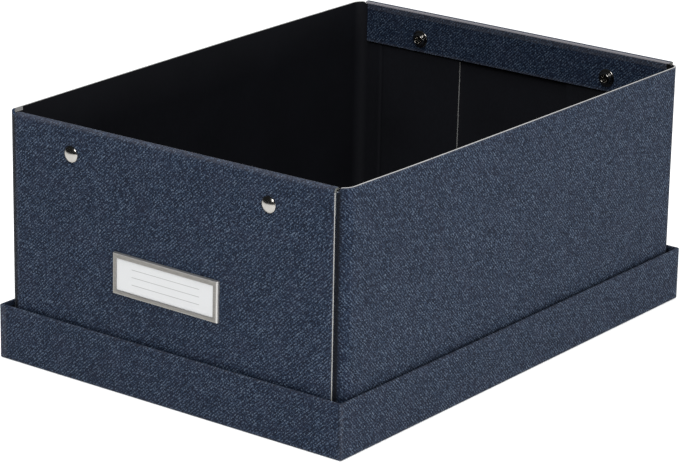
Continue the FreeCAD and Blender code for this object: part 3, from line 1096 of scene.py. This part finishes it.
def lid_liner():
    """The thin black pan of paper inside the lid."""
    outside = LID_BOARD + LINER_GAP
    inside = outside + LINER_THICK
    top = LID_HEIGHT - LID_TURN_IN
    profile = [(outside, z, 0.5) for z in (outside, 10.0, 20.0, top)]
    profile += [(inside, z, 0.4) for z in (top, 20.0, 10.0, inside)]
    points, rings = [], []
    for inset, z, radius in profile:
        start = len(points)
        for x, y, height, normal in lid_ring_points(inset, z, radius):
            lean = lid_bow(x, y, z, normal)
            if z == top:
                height += 0.15 * wander(x * 0.05, y * 0.05, 1.0)
            points.append((x + normal[0] * lean, y + normal[1] * lean, height))
        rings.append(list(range(start, len(points))))
    faces = [face for a, b in zip(rings, rings[1:]) for face in closed_band(a, b)]
    uvs = [[weave(points[v][0], points[v][2]) for v in face] for face in faces]
    for loop in (rings[0], rings[-1]):
        faces.append(loop)
        uvs.append([weave(points[v][0], points[v][1]) for v in loop])
    return make_object("lid_liner", points, faces, [BLACK], [0] * len(faces), uvs, None, 40.0)


def make_lid():
    shell = lid_shell()
    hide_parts("lid_panel", "lid_front_wall", "lid_rear_wall", "lid_left_wall", "lid_right_wall")
    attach(shell, "lid")
    liner = lid_liner()
    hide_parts("lid_lining")
    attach(liner, "lid")


# Press studs


def dome_profile(radius, height, rim):
    """A domed cap with a rolled rim and a short shank, from its top outwards and back in."""
    sphere = (radius**2 + (height - rim) ** 2) / (2 * (height - rim))
    profile = [(0.0, height)]
    for k in range(1, 15):
        r = radius * k / 14
        profile.append((r, height - (sphere - math.sqrt(sphere**2 - r**2))))
    profile += [(radius + 0.06, rim * 0.6), (radius - 0.02, rim * 0.2), (radius - 0.2, 0.0)]
    profile += [(1.4, 0.0), (1.4, -0.6), (0.0, -0.6)]
    return profile


def eyelet_profile():
    """(radius, how far it stands out) from the bottom of the bore, over the head and the flange,
    and back down the shank."""
    return [
        (0.0, 0.55),
        (1.9, 0.55),
        (2.0, 0.75),
        (2.05, 2.6),
        (2.3, 3.1),
        (2.7, 3.28),
        (3.2, 3.2),
        (3.65, 2.85),
        (3.85, 2.4),
        (3.85, 2.1),
        (4.05, 1.95),
        (4.3, 1.7),
        (4.35, 1.3),
        (4.3, 0.95),
        (4.45, 0.80),
        (4.8, 0.82),
        (5.2, 0.74),
        (5.6, 0.52),
        (5.85, 0.25),
        (5.85, 0.0),
        (1.2, 0.0),
        (1.2, -3.6),
        (0.0, -3.6),
    ]


def make_studs():
    cap = dome_profile(5.0, 2.3, 0.3)
    ring = eyelet_profile()
    inner_y = HALF_LENGTH - STRIP_DEPTH - BOARD
    for side, x in (("left", -STUD_X), ("right", STUD_X)):
        piece = lathe(f"front_{side}_cap", cap, NICKEL, (x, -HALF_LENGTH, STUD_Z), (0, -1, 0))
        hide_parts(f"front_{side}_snap_cap")
        rear = lathe(f"rear_{side}_cap", cap, NICKEL, (x, HALF_LENGTH, STUD_Z), (0, 1, 0))
        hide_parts(f"rear_{side}_snap_cap")
        place = (x, -inner_y, STUD_Z)
        eyelet = lathe(f"front_{side}_eyelet", ring, NICKEL, place, (0, 1, 0), sharp=55.0)
        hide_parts(f"front_{side}_snap_eyelet")
        place = (x, inner_y, STUD_Z)
        far = lathe(f"rear_{side}_eyelet", ring, NICKEL, place, (0, -1, 0), sharp=55.0)
        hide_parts(f"rear_{side}_snap_eyelet")
        for thing, body in ((piece, "box"), (rear, "box"), (eyelet, "front_fold"), (far, "rear_fold")):
            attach(thing, body)
    for end in ("front", "rear"):
        for side in ("left", "right"):
            for kind in ("socket", "stud"):
                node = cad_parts[f"{end}_{side}_snap_{kind}"]
                node.data.materials.clear()
                node.data.materials.append(NICKEL)


# Label


def tilted(x, z):
    """The holder hangs slightly out of square, its right end low."""
    turn = math.radians(LABEL_TILT)
    c, s = math.cos(turn), math.sin(turn)
    off_x, off_z = x - LABEL_X, z - LABEL_MIDDLE
    return LABEL_X + off_x * c - off_z * s, LABEL_MIDDLE + off_x * s + off_z * c


def prong_places():
    """Where the holder's prongs pass through the panel: x, z and the side they are on."""
    low = LABEL_LOW + 6.0
    high = LABEL_LOW + HOLDER_HEIGHT - 6.0
    reach = HOLDER_WIDTH / 2 - 0.4
    places = [(LABEL_X + side * reach, z, side) for side in (-1, 1) for z in (low, high)]
    return [(*tilted(x, z), side) for x, z, side in places]


def prong(name, x, z, side):
    """A strip of the frame's metal, pushed through the panel and bent flat behind it."""
    half_thick = 0.22
    bend_y = -HALF_LENGTH + 1.35
    line = [(x, -HALF_LENGTH - 0.2), (x, -HALF_LENGTH + 0.6)]
    for step in range(7):
        turn = math.radians(90 * step / 6)
        back = side * PRONG_BEND * (1 - math.cos(turn))
        line.append((x - back, bend_y + PRONG_BEND * math.sin(turn)))
    line += [(x - side * reach, bend_y + PRONG_BEND) for reach in (1.5, 3.0, 4.4, 5.0)]
    grid = Grid()
    for n, (px, py) in enumerate(line):
        before, after = line[max(n - 1, 0)], line[min(n + 1, len(line) - 1)]
        length = math.dist(before, after)
        off_x = half_thick * (after[1] - before[1]) / length
        off_y = -half_thick * (after[0] - before[0]) / length
        half_width = 1.5 if n < len(line) - 1 else 1.0
        grid.new_row()
        for share in (-1.0, -0.9, 0.0, 0.9, 1.0):
            pz = z + half_width * share
            grid.add((px + off_x, py + off_y, pz), (px - off_x, py - off_y, pz), (0.0, 0.0))
    return thick_sheet(name, grid, (HOLDER, HOLDER), [(1.0, HOLDER)])


def holder_frame():
    """A pressed picture-frame section round the card's window, mitred at its corners."""
    # The section from the outer edge inwards: share of the outer bevel, share of the flat bar,
    # how far it stands out, and how strong its painted highlight is.
    section = [
        (0.15, 0.0, 0.0, 0.8),
        (0.0, 0.0, 0.2, 0.9),
        (0.20, 0.0, 1.2, 1.0),
        (0.60, 0.0, 1.85, 1.0),
        (1.0, 0.0, 2.17, 0.7),
        (1.0, 0.08, 2.20, 0.1),
        (1.0, 0.50, 2.12, 0.0),
        (1.0, 0.80, 2.06, 0.0),
        (1.0, 0.92, 2.00, 0.1),
        (1.0, 0.99, 1.88, 0.2),
        (1.0, 1.0, 1.72, 0.0),
        (1.0, 0.97, 1.55, 0.0),
        (1.0, 0.15, 1.55, 0.0),
        (1.0, 0.15, 0.0, 0.0),
    ]
    # Each bar's width, and the width of its bevel.
    bars = {"left": (2.55, 0.35), "right": (3.5, 0.75), "top": (3.2, 0.35), "bottom": (2.6, 0.35)}
    x0 = LABEL_X - HOLDER_WIDTH / 2
    x1 = LABEL_X + HOLDER_WIDTH / 2
    z0 = LABEL_LOW
    z1 = LABEL_LOW + HOLDER_HEIGHT
    corners = (
        (x0, z0, 1, 1, "left", "bottom"),
        (x1, z0, -1, 1, "right", "bottom"),
        (x1, z1, -1, -1, "right", "top"),
        (x0, z1, 1, -1, "left", "top"),
    )

    def inset(bar, slope, share):
        width, bevel = bars[bar]
        return slope * bevel + share * (width - bevel)

    points, wear_and_painted_light, loops = [], [], []
    for x, z, sx, sz, bar_x, bar_z in corners:
        loops.append(list(range(len(points), len(points) + len(section))))
        for slope, share, depth, painted_highlight in section:
            px, pz = tilted(x + sx * inset(bar_x, slope, share), z + sz * inset(bar_z, slope, share))
            points.append((px, -HALF_LENGTH - depth, pz))
            wear_and_painted_light.append(painted_highlight)
    faces = [face for a, b in zip(loops, loops[1:] + loops[:1]) for face in closed_band(a, b)]
    uvs = plain_uvs(faces)
    return make_object("label_frame", points, faces, [HOLDER], [0] * len(faces), uvs, wear_and_painted_light, 40.0)


def card_sheet():
    """The paper card, curled very slightly, with its own millimetres as its UV map."""
    half = HOLDER_WIDTH / 2 - 1.25
    grid = Grid()
    for x in np.linspace(LABEL_X - half, LABEL_X + half, 24):
        grid.new_row()
        for z in np.linspace(LABEL_LOW + 0.9, LABEL_LOW + HOLDER_HEIGHT - 0.9, 8):
            y = -HALF_LENGTH + 0.06 * wander(x * 0.05, z * 0.08, 4.0)
            px, pz = tilted(x, z)
            grid.add((px, y - 1.42, pz), (px, y - 0.95, pz), (x, z))
    return thick_sheet("label_insert", grid, (CARD, CARD), [(1.0, CARD)])


def make_label():
    holder = holder_frame()
    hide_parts("label_holder")
    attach(holder, "box")
    for n, (x, z, side) in enumerate(prong_places()):
        leg = prong(f"label_prong_{n}", x, z, side)
        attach(leg, "box")
    card = card_sheet()
    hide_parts("label_card")
    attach(card, "card")


# Floor, lights and camera


def area_light(name, place, target, width, height, power):
    """A soft rectangular light, turned towards its target."""
    data = bpy.data.lights.new(name, "AREA")
    data.shape = "RECTANGLE"
    data.size = width
    data.size_y = height
    data.energy = power
    lamp = bpy.data.objects.new(name, data)
    lamp.location = place
    lamp.rotation_euler = (Vector(target) - Vector(place)).to_track_quat("-Z", "Y").to_euler()
    bpy.context.scene.collection.objects.link(lamp)
    return lamp


def white_studio():
    """A world that looks white to the camera and lights the box only faintly."""
    world = bpy.data.worlds.new("studio")
    world.use_nodes = True
    bpy.context.scene.world = world
    nodes, links = world.node_tree.nodes, world.node_tree.links
    seen = nodes["Background"]
    seen.inputs["Color"].default_value = (1.0, 1.0, 1.0, 1.0)
    seen.inputs["Strength"].default_value = 1.0
    dim = nodes.new("ShaderNodeBackground")
    dim.inputs["Color"].default_value = (0.9, 0.95, 1.0, 1.0)
    dim.inputs["Strength"].default_value = 0.03
    path = nodes.new("ShaderNodeLightPath")
    mixed = nodes.new("ShaderNodeMixShader")
    links.new(path.outputs["Is Camera Ray"], mixed.inputs[0])
    links.new(dim.outputs[0], mixed.inputs[1])
    links.new(seen.outputs[0], mixed.inputs[2])
    links.new(mixed.outputs[0], nodes["World Output"].inputs["Surface"])


def make_stage():
    mesh = bpy.data.meshes.new("floor")
    corners = [(x * FLOOR_HALF, y * FLOOR_HALF, FLOOR_Z) for x, y in ((-1, -1), (1, -1), (1, 1), (-1, 1))]
    mesh.from_pydata(corners, [], [(0, 1, 2, 3)])
    mesh.materials.append(pale_floor())
    floor = bpy.data.objects.new("floor", mesh)
    bpy.context.scene.collection.objects.link(floor)
    white_studio()
    overhead = area_light(*OVERHEAD)
    overhead.visible_glossy = False
    area_light(*KEY)
    area_light(*SIDE)
    bpy.context.scene.view_settings.view_transform = "Standard"


def make_camera():
    """The camera, held at the azimuth and elevation named above and rolled very slightly."""
    azimuth = math.radians(CAMERA_AZIMUTH)
    elevation = math.radians(CAMERA_ELEVATION)
    roll = math.radians(CAMERA_ROLL)
    right = Vector((math.cos(azimuth), math.sin(azimuth), 0.0))
    level = math.cos(elevation)
    back = Vector((math.sin(azimuth) * level, -math.cos(azimuth) * level, math.sin(elevation)))
    up = back.cross(right)
    rolled_right = right * math.cos(roll) + up * math.sin(roll)
    rolled_up = up * math.cos(roll) - right * math.sin(roll)
    data = bpy.data.cameras.new("camera")
    data.lens = CAMERA_LENS
    data.sensor_width = 36.0
    data.clip_start = 0.1
    data.clip_end = 60.0
    camera = bpy.data.objects.new("camera", data)
    turn = Matrix((rolled_right, rolled_up, back)).transposed()
    camera.matrix_world = Matrix.Translation(Vector(CAMERA_PLACE) * MM) @ turn.to_4x4()
    bpy.context.scene.collection.objects.link(camera)
    bpy.context.scene.camera = camera


make_camera()
make_stage()
make_lid()
make_sides()
make_panels()
make_strips()
make_floor()
make_studs()
make_label()
